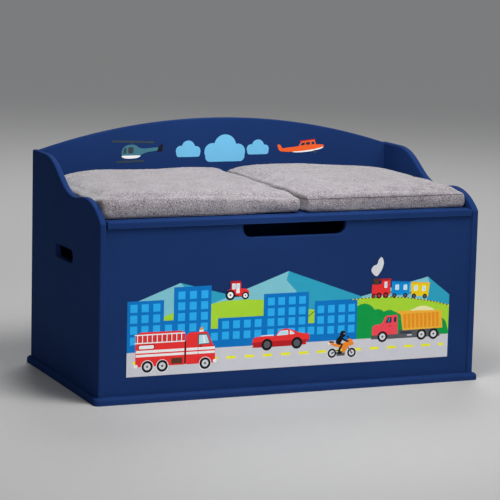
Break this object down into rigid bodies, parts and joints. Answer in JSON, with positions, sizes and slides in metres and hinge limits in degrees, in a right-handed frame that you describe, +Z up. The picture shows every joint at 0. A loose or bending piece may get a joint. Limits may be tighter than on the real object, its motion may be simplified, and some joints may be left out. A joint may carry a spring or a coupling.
{
  "type": "wooden toy box",
  "caption": "Bench-shaped wooden toy box: arm-shaped sides with hand slots, arched back, a lid that hinges up at the back with seat cushions on it, and a picture on the front.",
  "frame": {"origin": "on the floor under the middle of the whole box", "axes": "+Z up, -Y out of the front panel, +X to the right as seen from the front"},
  "size_m": [0.94, 0.49, 0.572],
  "materials": {
    "navy_paint": "satin",
    "beech": "matte",
    "zinc_steel": "satin",
    "cam_metal": "matte",
    "hinge_steel": "satin",
    "bumper_rubber": "matte",
    "grey_plush": "matte",
    "foam": "matte",
    "hook_and_loop": "matte",
    "mural_film": "satin",
    "sticker_film": "satin"
  },
  "bodies": {
    "case": {"base_board": "navy_paint", "left_side_panel": "navy_paint", "right_side_panel": "navy_paint", "front_panel": "navy_paint", "arched_back_panel": "navy_paint", "hinge_rail": "navy_paint", "cam_bolts": "zinc_steel", "cam_locks": "cam_metal", "wooden_dowels": "beech", "base_screws": "zinc_steel", "rail_screws": "zinc_steel", "lid_bumpers": "bumper_rubber", "rail_hinge_screws": "zinc_steel", "left_hinge_rail_leaf": "hinge_steel", "right_hinge_rail_leaf": "hinge_steel", "left_hinge_pin": "hinge_steel", "right_hinge_pin": "hinge_steel", "front_mural": "mural_film", "helicopter_sticker": "sticker_film", "clouds_sticker": "sticker_film", "aeroplane_sticker": "sticker_film"},
    "lid": {"lid_board": "navy_paint", "lid_hinge_screws": "zinc_steel", "left_hinge_lid_leaf": "hinge_steel", "right_hinge_lid_leaf": "hinge_steel", "left_cushion_cover": "grey_plush", "left_cushion_foam": "foam", "left_cushion_pads": "hook_and_loop", "right_cushion_cover": "grey_plush", "right_cushion_foam": "foam", "right_cushion_pads": "hook_and_loop"}
  },
  "joints": [
    {"name": "lid_hinge", "type": "hinge", "parent": "case", "child": "lid", "pos_m": [0, 0.1685, 0.4016], "axis": [-1, 0, 0], "range_deg": [0, 80]}
  ]
}
